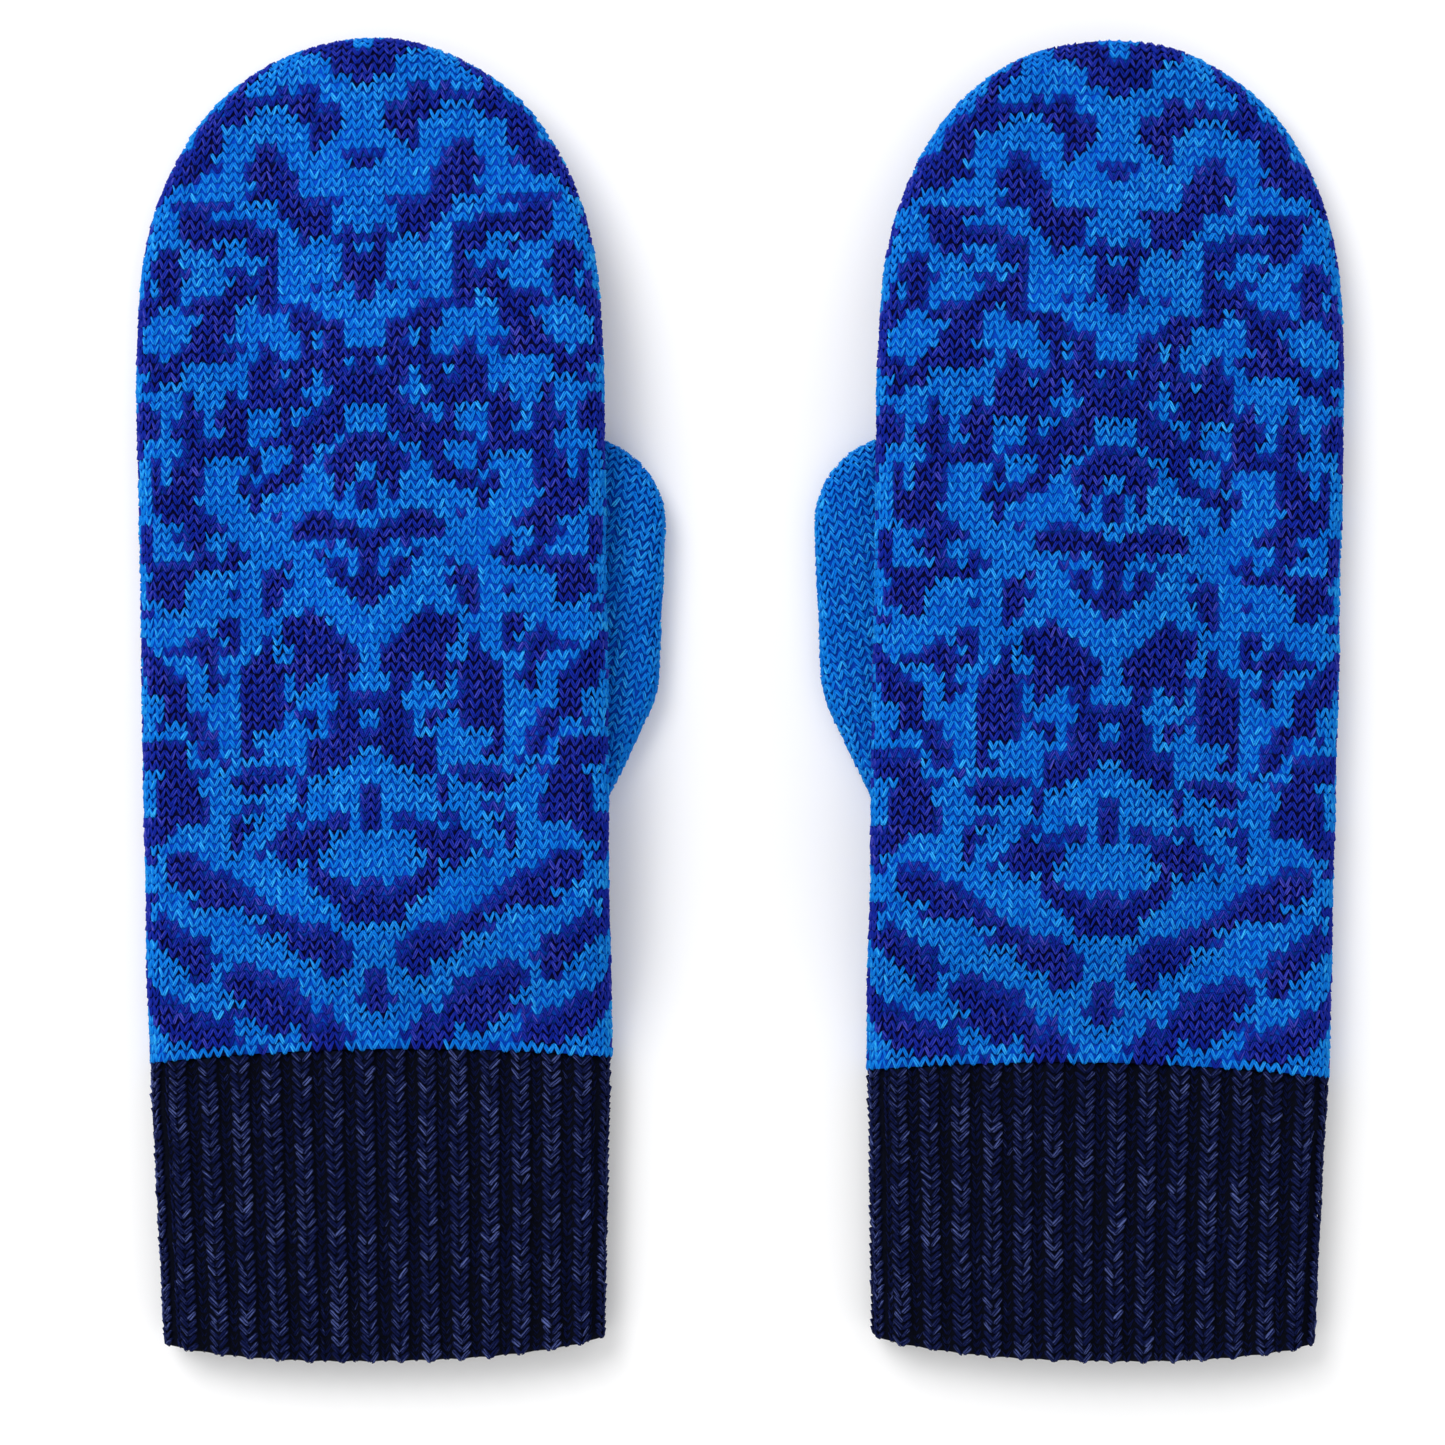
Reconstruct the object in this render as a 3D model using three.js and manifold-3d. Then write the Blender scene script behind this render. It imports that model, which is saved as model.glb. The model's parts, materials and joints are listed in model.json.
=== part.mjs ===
// A pair of knitted mittens lying on a table with the backs of the hands up.
// Millimetres, +Z up. Fingertips point to +Y and the two thumbs point towards each other.
// The origin is the middle of the pair, on the table.
//
// Each mitten has a back panel and a palm panel joined by a side seam, a thumb tube whose
// open mouth faces up into a round hole in the palm, a ribbed cuff, and two more seams.
// A mitten is drawn in its own frame: x across it, y up from the end of the cuff, z up.
// The drawing is of the mitten whose thumb is at +x, and the other one is its mirror image.

import * as THREE from 'three';
import { mergeVertices } from 'three/addons/utils/BufferGeometryUtils.js';
import Module from 'manifold-3d';

const wasm = await Module();
wasm.setup();

// Whole mitten
const mittenLength = 280; // end of the cuff to the fingertip
const handWidth = 100; // the widest place, where the fingertip starts to round off
const wristNarrowing = 1.4; // how much narrower the wrist is than the hand
const cuffNarrowing = 4; // how much narrower the cuff's open end is than the wrist
const handThickness = 13; // two layers of knitting and the room between them
const clearance = 0.3; // between pieces that touch
const seamClearance = 0.8; // from the seam yarn to the knitting round it

// Hand
const handWall = 2.2; // one layer of knitting
const tipLength = 83; // the stretch over which the fingertip rounds off
const tipSquareness = 3.1; // power of the fingertip's curve
const tipFlat = 0.04; // share of the width that is left at the very tip
const seamBow = 2.4; // how far the wrist seam bows up in the middle
const restStrip = 20; // width of the strip that lies flat on the table, away from the thumb

// Thumb
const thumbRise = 120.9; // end of the cuff to the middle of the thumb's base
const thumbInset = 1.6; // from the hand's edge in to the thumb's base
const mouthRadius = 11.5; // the opening from the hand into the thumb
const mouthRim = 6; // from the mouth out to the outline of the thumb's base
const thumbTipRadius = 19;
const thumbReach = 57.3; // middle of the base to the middle of the round tip
const swellRadius = 21; // the thumb's widest part, between its base and its tip
const swellRise = 26; // middle of the base to the middle of the widest part
const swellOut = 3; // how far the widest part lies outwards, away from the palm
const thumbLean = 12.5; // degrees outwards from the length of the hand
const thumbSwingIn = 21; // degrees that it can swing further in under the palm
const thumbThickness = 10.5;
const thumbWall = 2;
const thumbEdge = 3.5; // how far in from its outline the thumb's edge is rounded
const edgeThinning = 1.2; // how much less the inner surface is rounded than the outer
const thumbClearance = 0.4; // from the top of the thumb to the palm above it
const liftMargin = 2; // how far beyond the thumb's inner edge the palm still slopes
const liftStart = 4; // from the top of the palm's slope up to the thumb's base
const tipSettle = 0.5; // share of the palm's lift that is gone at the fingertip
const holeMargin = 0.8; // how much wider the palm's hole is than the mouth, all round

// Cuff
const cuffWall = 2.2;
const ribCount = 32; // ribs all the way round
const ribDepth = 0.8; // crest to valley
const cuffEndBow = 4.2; // how far the corners of the open end curve up
const cuffEndPower = 2.5; // power of that curve

// Seam yarn
const yarnRadius = 0.5;
const cuffSeamRise = 1.5; // from the wrist up to the middle of the cuff's seam yarn
const sideSeamStart = 4; // from the wrist up to the lower ends of the side seam's yarn
const sideSeamTop = 0.02; // from the fingertip down to the point the side seam follows
const yarnSides = 5;

// Each mitten's place, turn and cuff
const mittens = [
  { name: 'left', thumbSide: 1, x: -75.5, turn: 0.8, cuffLength: 63.6 },
  { name: 'right', thumbSide: -1, x: 75.1, turn: -1.0, cuffLength: 60.7 },
];

// How finely the surfaces are divided
const panelColumns = 14;
const straightRows = 11;
const tipRows = 9;
const stepsPerRib = 4;
const thumbSteps = 40;
const ringSteps = 44;
const sideSeamSteps = 48;
const touchingLines = 180; // in each quarter turn round the thumb's outline
const tipCrowding = 0.6; // how much closer together the thumb's steps are at its tip
const floorRing = 0.5; // share of the way out at which the thumb's flat side is divided
const edgeSteps = 4; // round each edge of the thumb
const holeSides = 36;
const sideSeamStations = 14; // points that one half of the side seam's line passes through
const sideSeamCurve = 3; // divisions of each half round of the side seam's yarn

// Radii of a lathe before its ring is bent to its real outline
const latheInside = 1;
const latheOutside = 2;

// Worked out from the sizes above
const halfThickness = handThickness / 2;
const wristWidth = handWidth - wristNarrowing;
const cuffEndWidth = wristWidth - cuffNarrowing;
const thumbBaseRadius = mouthRadius + mouthRim;
const shoulder = mittenLength - tipLength;
const thumbX = handWidth / 2 - thumbBaseRadius - thumbInset;
const thumbEnd = thumbRise + thumbReach + thumbTipRadius;
const palmRise = thumbThickness + thumbClearance;
const holeRadius = mouthRadius + holeMargin;

const { lerp, smoothstep, degToRad } = THREE.MathUtils;

// ---------------------------------------------------------------- closed geometry

// Joins the vertices that share a place, drops triangles with no area, and faces the rest out.
function closed(geometry) {
  geometry.deleteAttribute('normal');
  geometry.deleteAttribute('uv');
  const merged = mergeVertices(geometry, 1e-4);
  const position = merged.attributes.position;
  const index = Array.from(merged.index.array);
  const corners = [new THREE.Vector3(), new THREE.Vector3(), new THREE.Vector3()];
  const kept = [];
  let volume = 0;
  for (let i = 0; i < index.length; i += 3) {
    const triangle = index.slice(i, i + 3);
    if (new Set(triangle).size === 3) {
      kept.push(triangle);
      triangle.forEach((vertex, k) => corners[k].fromBufferAttribute(position, vertex));
      volume += corners[0].dot(corners[1].clone().cross(corners[2]));
    }
  }
  merged.setIndex(kept.flatMap((t) => (volume > 0 ? t : [t[0], t[2], t[1]])));
  return merged;
}

// Moves every vertex of a geometry to the place that a function gives for it.
function reshaped(geometry, placeOf) {
  const position = geometry.attributes.position;
  const point = new THREE.Vector3();
  for (let i = 0; i < position.count; i += 1) {
    point.fromBufferAttribute(position, i);
    position.setXYZ(i, ...placeOf(point));
  }
  return closed(geometry);
}

function solid(geometry) {
  const vertProperties = new Float32Array(geometry.attributes.position.array);
  const triVerts = new Uint32Array(geometry.index.array);
  return new wasm.Manifold(new wasm.Mesh({ numProp: 3, vertProperties, triVerts }));
}

// One geometry with another cut out of it.
function cut(geometry, tool) {
  const mesh = solid(geometry).subtract(solid(tool)).getMesh();
  const result = new THREE.BufferGeometry();
  result.setAttribute('position', new THREE.BufferAttribute(mesh.vertProperties, 3));
  result.setIndex(new THREE.BufferAttribute(mesh.triVerts, 1));
  return result;
}

// ---------------------------------------------------------------- shape of the hand

// Half the hand's width at a height, before the fingertip rounds it off.
function fullHalfWidth(y, cuffLength) {
  const share = Math.min(1, (y - cuffLength) / (shoulder - cuffLength));
  return lerp(wristWidth, handWidth, share) / 2;
}

function handHalfWidth(y, cuffLength) {
  const round = Math.max(0, y - shoulder) / tipLength;
  return fullHalfWidth(y, cuffLength) * Math.sqrt(1 - round ** tipSquareness);
}

// How far a point is in from the hand's outline, and the direction that leads further in.
function fromOutline(x, y, cuffLength) {
  const half = fullHalfWidth(y, cuffLength);
  const round = Math.max(0, y - shoulder) / tipLength;
  const level = 1 - (x / half) ** 2 - round ** tipSquareness;
  const slopeX = (2 * x) / half ** 2;
  const slopeY = (tipSquareness * round ** (tipSquareness - 1)) / tipLength;
  const steepness = Math.max(1e-6, Math.hypot(slopeX, slopeY));
  return {
    distance: Math.max(0, level) / steepness,
    inX: -slopeX / steepness,
    inY: -slopeY / steepness,
  };
}

// How far the hand is lifted off the table by the thumb that lies under it.
function lift(x, y, cuffLength) {
  const innerLean = degToRad(thumbLean - thumbSwingIn);
  const innerEdge = thumbX + thumbReach * Math.sin(innerLean) - thumbTipRadius;
  const across = smoothstep(x, restStrip - handWidth / 2, innerEdge + liftMargin);
  const raisedFrom = thumbRise - thumbBaseRadius - liftStart;
  const up = smoothstep(y, cuffLength + seamBow, raisedFrom);
  const down = 1 - tipSettle * smoothstep(y, thumbEnd, thumbEnd + mittenLength - shoulder);
  return palmRise * across * up * down;
}

// Height of the wrist seam line across the mitten.
function wristSeam(x, cuffLength) {
  return cuffLength + seamBow * (1 - (x / (wristWidth / 2)) ** 2);
}

// Quarter-round rise of a panel from its edge: 0 at the edge and 1 from halfThickness in.
function edgeRise(distance) {
  const left = 1 - Math.min(1, distance / halfThickness);
  return Math.sqrt(1 - left ** 2);
}

// ---------------------------------------------------------------- the pieces

// The back (face 1) or the palm (face -1) of the hand, one curved layer of knitting.
function handPanel(face, cuffLength) {
  const rows = straightRows + tipRows;
  const tipTop = (1 - tipFlat ** 2) ** (1 / tipSquareness);
  const box = new THREE.BoxGeometry(2, rows, 2, panelColumns, rows, 1);
  const start = cuffLength + clearance / 2;
  return reshaped(box, (point) => {
    const row = point.y + rows / 2;
    const straight = Math.min(1, row / straightRows);
    const turned = (Math.max(0, row - straightRows) / tipRows) * Math.asin(tipTop);
    let y = lerp(start, shoulder, straight) + tipLength * Math.sin(turned);
    let x = Math.sin((point.x * Math.PI) / 2) * handHalfWidth(y, cuffLength);
    y += (wristSeam(x, cuffLength) - cuffLength) * (1 - straight);
    const edge = fromOutline(x, y, cuffLength);
    const rise = edgeRise(edge.distance);
    const outside = point.z * face > 0;
    let height = clearance / 2 + (halfThickness - clearance / 2) * rise;
    if (!outside) {
      const inwards = handWall * (1 - Math.min(1, edge.distance / halfThickness));
      x += edge.inX * inwards;
      y += edge.inY * inwards;
      height -= handWall * rise;
    }
    return [x, y, halfThickness + lift(x, y, cuffLength) + face * height];
  });
}

// The palm, with the round hole that leads down into the thumb.
function palmPanel(cuffLength) {
  const hole = new THREE.CylinderGeometry(holeRadius, holeRadius, 4 * handThickness, holeSides);
  hole.rotateX(Math.PI / 2);
  hole.translate(thumbX, thumbRise, palmRise);
  return cut(handPanel(-1, cuffLength), closed(hole));
}

// Distance from the middle of the thumb's base to its outline, drawn in by an inset.
// The outline is the hull of three circles, at the base, the widest part and the tip, so it
// is where the nearest of the straight lines that touch the hull is met. The angle is
// measured from the thumb's own length, outwards.
function thumbOutline(angle, inset) {
  let nearest = Infinity;
  for (let step = 1 - touchingLines; step < touchingLines; step += 1) {
    const turned = (step / touchingLines) * (Math.PI / 2);
    const across = Math.sin(angle + turned);
    const along = Math.cos(angle + turned);
    const reach = Math.max(
      thumbBaseRadius,
      swellOut * across + swellRise * along + swellRadius,
      thumbReach * along + thumbTipRadius,
    );
    nearest = Math.min(nearest, (reach - inset) / Math.cos(turned));
  }
  return nearest;
}

// The rounded edge of the thumb's outer or inner surface, from its bottom to its top.
function thumbEdgeLevels(inset, depth, low, high) {
  const middle = (low + high) / 2;
  const levels = [];
  for (let step = 0; step <= edgeSteps; step += 1) {
    const turn = (step / edgeSteps - 0.5) * Math.PI;
    const z = middle + (middle - low) * Math.sin(turn);
    levels.push({ inset: inset + depth * (1 - Math.cos(turn)), z });
  }
  return levels;
}

// A flattened tube with a closed round tip and a round mouth on top of its base.
// It is a closed profile swept once round the base, reaching out to the thumb's outline.
function thumb() {
  const innerTop = thumbThickness - thumbWall;
  const innerDepth = thumbEdge - edgeThinning;
  const outer = thumbEdgeLevels(0, thumbEdge, 0, thumbThickness);
  const inner = thumbEdgeLevels(thumbWall, innerDepth, thumbWall, innerTop);
  const levels = [
    { share: 0, z: 0 },
    { share: floorRing, z: 0 },
    ...outer,
    { radius: mouthRadius, z: thumbThickness },
    { radius: mouthRadius, z: innerTop },
    ...inner.reverse(),
    { share: floorRing, z: thumbWall },
    { share: 0, z: thumbWall },
  ];
  // The lathe only sets the order of the vertices: its height is a level's number.
  const last = levels.length - 1;
  const profile = levels.map((level, i) => new THREE.Vector2(i % last === 0 ? 0 : 1, i));
  const lathe = new THREE.LatheGeometry(profile, thumbSteps);
  return reshaped(lathe, (point) => {
    const level = levels[Math.round(point.y)];
    const round = Math.atan2(point.x, point.z);
    const angle = round - tipCrowding * Math.sin(round);
    let radius = level.radius;
    if (level.share !== undefined) {
      radius = level.share * thumbOutline(angle, thumbEdge);
    } else if (level.inset !== undefined) {
      radius = thumbOutline(angle, level.inset);
    }
    const direction = degToRad(thumbLean) + angle;
    const x = thumbX + radius * Math.sin(direction);
    const y = thumbRise + radius * Math.cos(direction);
    return [x, y, level.z];
  });
}

// A point on a flattened round section: flat above and below, half-round at both sides.
// share goes once round, and inset is how far in from the surface the point lies.
function sectionPoint(share, halfWidth, inset) {
  const flat = 2 * (halfWidth - halfThickness);
  const arc = Math.PI * halfThickness;
  const radius = halfThickness - inset;
  let run = (share - Math.floor(share)) * 2 * (flat + arc) - flat / 2;
  let side = 1;
  if (run > flat / 2 + arc) {
    run -= flat + arc;
    side = -1;
  }
  if (run <= flat / 2) {
    return { x: side * run, z: side * radius };
  }
  const turn = (run - flat / 2) / halfThickness;
  const x = side * (flat / 2 + radius * Math.sin(turn));
  return { x, z: side * radius * Math.cos(turn) };
}

// The ribbed tube below the hand.
function cuff(cuffLength) {
  const corners = [
    [latheInside, 0],
    [latheOutside, 0],
    [latheOutside, 1],
    [latheInside, 1],
    [latheInside, 0],
  ].map(([wall, end]) => new THREE.Vector2(wall, end));
  const lathe = new THREE.LatheGeometry(corners, ribCount * stepsPerRib);
  return reshaped(lathe, (point) => {
    const share = Math.atan2(point.x, point.z) / (2 * Math.PI);
    const top = Math.round(point.y) === 1;
    const inside = Math.hypot(point.x, point.z) < (latheInside + latheOutside) / 2;
    const rib = ribDepth * 0.5 * (1 - Math.cos(2 * Math.PI * ribCount * share));
    const halfWidth = (top ? wristWidth : cuffEndWidth) / 2;
    const { x, z } = sectionPoint(share, halfWidth, rib + (inside ? cuffWall : 0));
    const endY = cuffEndBow * Math.abs(x / halfWidth) ** cuffEndPower;
    const y = top ? wristSeam(x, cuffLength) - clearance / 2 : endY;
    return [x, y, halfThickness + z];
  });
}

// The ring of yarn inside the wrist that joins the hand to the cuff.
function cuffSeam(cuffLength) {
  const inset = handWall + seamClearance + yarnRadius;
  const fromSeam = clearance + cuffSeamRise;
  const profile = [];
  for (let side = 0; side <= yarnSides; side += 1) {
    const turn = (2 * Math.PI * side) / yarnSides;
    const radius = latheOutside + yarnRadius * Math.cos(turn);
    profile.push(new THREE.Vector2(radius, yarnRadius * Math.sin(turn)));
  }
  return reshaped(new THREE.LatheGeometry(profile, ringSteps), (point) => {
    const share = Math.atan2(point.x, point.z) / (2 * Math.PI);
    const out = Math.hypot(point.x, point.z) - latheOutside;
    const { x, z } = sectionPoint(share, wristWidth / 2, inset - out);
    const y = wristSeam(x, cuffLength) + fromSeam + point.y;
    return [x, y, halfThickness + lift(x, y, cuffLength) + z];
  });
}

// The line of yarn that joins the two panels, just inside their edges.
function sideSeam(cuffLength) {
  const inwards = handWall + seamClearance + yarnRadius;
  const start = cuffLength + seamBow + sideSeamStart;
  const stations = sideSeamStations;
  const half = [];
  for (let i = 0; i <= stations; i += 1) {
    const turned = (i / stations) * (Math.PI / 2);
    const y = lerp(start, mittenLength - sideSeamTop, Math.sin(turned));
    const x = handHalfWidth(y, cuffLength);
    const edge = fromOutline(x, y, cuffLength);
    half.push([x + edge.inX * inwards, y + edge.inY * inwards]);
  }
  half[stations][0] = 0;
  const mirrored = half.slice(0, stations).reverse().map(([x, y]) => [-x, y]);
  const line = [...half, ...mirrored].map(
    ([x, y]) => new THREE.Vector3(x, y, halfThickness + lift(x, y, cuffLength)),
  );
  const section = new THREE.Shape().absarc(0, 0, yarnRadius, 0, 2 * Math.PI);
  return closed(
    new THREE.ExtrudeGeometry(section, {
      steps: sideSeamSteps,
      curveSegments: sideSeamCurve,
      extrudePath: new THREE.CatmullRomCurve3(line),
    }),
  );
}

// The ring of yarn on the palm's inner face, round the hole that leads into the thumb.
function thumbSeam() {
  const radius = holeRadius + clearance + yarnRadius;
  const ring = new THREE.TorusGeometry(radius, yarnRadius, yarnSides, ringSteps);
  ring.translate(thumbX, thumbRise, palmRise + handWall + seamClearance + yarnRadius);
  return closed(ring);
}

// ---------------------------------------------------------------- assembly

const colours = {
  pattern: 0x0e429d,
  thumb: 0x0754ad,
  cuff: 0x0e1430,
  seam: 0x0b2f80,
};

function piece(name, geometry, colour, thumbSide) {
  let shape = geometry;
  if (thumbSide < 0) {
    shape = closed(geometry.clone().scale(-1, 1, 1));
  }
  const material = new THREE.MeshStandardMaterial({ color: colour, roughness: 0.95, metalness: 0 });
  const mesh = new THREE.Mesh(shape, material);
  mesh.name = name;
  return mesh;
}

function mitten({ name, thumbSide, x, turn, cuffLength }) {
  const group = new THREE.Group();
  const add = (part, geometry, colour) => {
    group.add(piece(`${name}_${part}`, geometry, colour, thumbSide));
  };
  add('hand_back', handPanel(1, cuffLength), colours.pattern);
  add('hand_palm', palmPanel(cuffLength), colours.pattern);
  add('side_seam', sideSeam(cuffLength), colours.seam);
  add('thumb', thumb(), colours.thumb);
  add('thumb_seam', thumbSeam(), colours.seam);
  add('cuff', cuff(cuffLength), colours.cuff);
  add('cuff_seam', cuffSeam(cuffLength), colours.seam);
  group.position.x = x;
  group.rotation.z = degToRad(turn);
  return group;
}

const pair = new THREE.Group();
for (const place of mittens) {
  pair.add(mitten(place));
}
const middle = new THREE.Box3().setFromObject(pair, true).getCenter(new THREE.Vector3());
pair.position.set(-middle.x, -middle.y, 0);

export default pair;
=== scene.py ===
"""A pair of knitted mittens lying flat with the backs of the hands up.

Every visible stitch is a pair of yarn legs laid on the curved fabric, over a closed base layer
that stands for the yarn behind the stitches. A leg is two plies that turn about each other.
Lengths are in millimetres until a piece is placed. A mitten's own frame has x across it, y up
from the end of its cuff, z up.
"""

import json
import math

import bpy
import numpy as np
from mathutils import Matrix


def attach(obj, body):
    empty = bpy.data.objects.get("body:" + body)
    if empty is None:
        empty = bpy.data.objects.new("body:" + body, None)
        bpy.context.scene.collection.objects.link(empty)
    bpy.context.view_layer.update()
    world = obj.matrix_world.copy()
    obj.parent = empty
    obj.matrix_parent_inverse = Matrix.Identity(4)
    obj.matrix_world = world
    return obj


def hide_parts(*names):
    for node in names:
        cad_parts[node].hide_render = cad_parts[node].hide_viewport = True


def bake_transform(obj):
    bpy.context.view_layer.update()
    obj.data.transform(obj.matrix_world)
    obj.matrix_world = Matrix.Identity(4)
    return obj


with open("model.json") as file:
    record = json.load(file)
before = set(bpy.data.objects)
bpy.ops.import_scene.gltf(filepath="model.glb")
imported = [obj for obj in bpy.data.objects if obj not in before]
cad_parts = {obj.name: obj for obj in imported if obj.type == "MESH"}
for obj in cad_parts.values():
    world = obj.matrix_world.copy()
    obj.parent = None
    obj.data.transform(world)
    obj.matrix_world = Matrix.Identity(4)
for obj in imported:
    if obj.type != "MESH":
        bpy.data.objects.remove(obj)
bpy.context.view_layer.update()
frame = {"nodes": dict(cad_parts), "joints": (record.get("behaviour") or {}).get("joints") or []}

MM = 0.001

# Hand
MITTEN_LENGTH = 280.0
HAND_WIDTH = 100.0
WRIST_WIDTH = 98.6
CUFF_END_WIDTH = 94.6
HAND_RADIUS = 6.5  # half the thickness of the hand, and of the cuff
TIP_LENGTH = 83.0
TIP_SQUARENESS = 3.1
SHOULDER = MITTEN_LENGTH - TIP_LENGTH
SEAM_BOW = 2.4
REST_STRIP = 20.0
HAND_WALL = 2.2
HOLE_RADIUS = 12.3
EDGE_SLACK = math.pi / 2 - 1  # extra fabric that goes round an edge, per unit of radius

# Thumb
THUMB_RISE = 120.9
THUMB_BASE_RADIUS = 17.5
THUMB_TIP_RADIUS = 19.0
THUMB_REACH = 57.3
SWELL_RADIUS = 21.0
SWELL_RISE = 26.0
SWELL_OUT = 3.0
THUMB_LEAN = math.radians(12.5)
THUMB_SWING_IN = math.radians(21)
THUMB_RADIUS = 5.25
THUMB_WALL = 2.0
MOUTH_RADIUS = 11.5
PALM_RISE = 10.9
THUMB_BELOW_BASE = 4  # how far below its base's circle the thumb's knitting may start
PALM_RAISED_PAST = 2  # how far past the thumb's inner edge the palm is raised in full
TIP_SETTLES = 0.5  # share of the lift that is lost beyond the thumb

# Cuff
CUFF_WALL = 2.2
RIBS = 32
RIB_DEPTH = 1.7
CUFF_END_BOW = 4.2  # how far the open end curves up at its two sides
CUFF_END_POWER = 2.5
WRIST_GAP = 0.15
WRIST_BEND = (0.5, 13)  # how far below the wrist seam a bend of the cuff would start and end; build places two points there that nothing uses
RIB_BACKING = 0.6  # extra wall behind the valleys of the ribs
CUFF_ROUND = 4 * (WRIST_WIDTH / 2 - HAND_RADIUS) + 2 * math.pi * HAND_RADIUS

# Knitting
HAND_COLUMNS = 46
HAND_ROWS = 110
HAND_WALE = 2.33  # a wale is one column's width, and a course one row's height
HAND_COURSE = 2.0
BACK_SEED = 24
PALM_SEED = 31
THUMB_COLUMNS = 20
THUMB_ROWS = 56
THUMB_WALE = 2.7
THUMB_COURSE = 1.95
CUFF_COURSE = 1.70
CREST_WALE = 3.9
VALLEY_WALE = 2.6
LEG_REACH = 0.62  # half a leg's length, in courses
CUFF_LEG_REACH = 0.66
VALLEY_PAINTED_SHADE = 0.3  # painted shade: how much darker the stitches are painted between two ribs
BOW_ROWS = 40  # rows from the wrist seam up to the first straight one
FIRST_ROW = 0.55  # rows from the wrist seam to the middle of the first stitches

# The stitches on top go a little past the edge, and those underneath stop short of it
BACK_PAST_EDGE = 0.7
THUMB_PAST_EDGE = 0.8
SHORT_OF_EDGE = 0.5
CLEAR_OF_HOLE = 1.2

# Unevenness of the fabric: the height, wavelength and seed of a ripple
HAND_ASIDE = (0.12, 22, 5)
HAND_ONWARD = (0.1, 17, 6)
HAND_DEPTH = (0.12, 30, 7)
THUMB_ASIDE = (0.1, 20, 15)
THUMB_DEPTH = (0.1, 25, 16)
CUFF_ASIDE = (0.12, 19, 25)
CUFF_DEPTH = (0.08, 21, 26)

# Seeds of the yarn legs
HAND_SEED = 100
THUMB_SEED = 200
CUFF_SEED = 300
BASE_DEPTH = 0.8  # from the top of the stitches down to the base layer
PALM_SINK = 0.15  # room for the thumb that slides along under the palm's stitches


def smoothstep(value, low, high):
    """0 below low, 1 above high, and a smooth rise between them."""
    t = np.clip((value - low) / (high - low), 0, 1)
    return t * t * (3 - 2 * t)


def ripple(x, y, height, wavelength, seed):
    """A smooth uneven surface of about the given height: six sine waves in seeded directions."""
    rng = np.random.default_rng(seed)
    total = 0
    for heading, phase, stretch in rng.uniform(0, 1, (6, 3)):
        angle = 2 * math.pi * heading
        run = x * math.cos(angle) + y * math.sin(angle)
        total = total + np.sin(2 * math.pi * (run / (wavelength * (0.6 + 0.8 * stretch)) + phase))
    return height * (total / 2.5)


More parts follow.
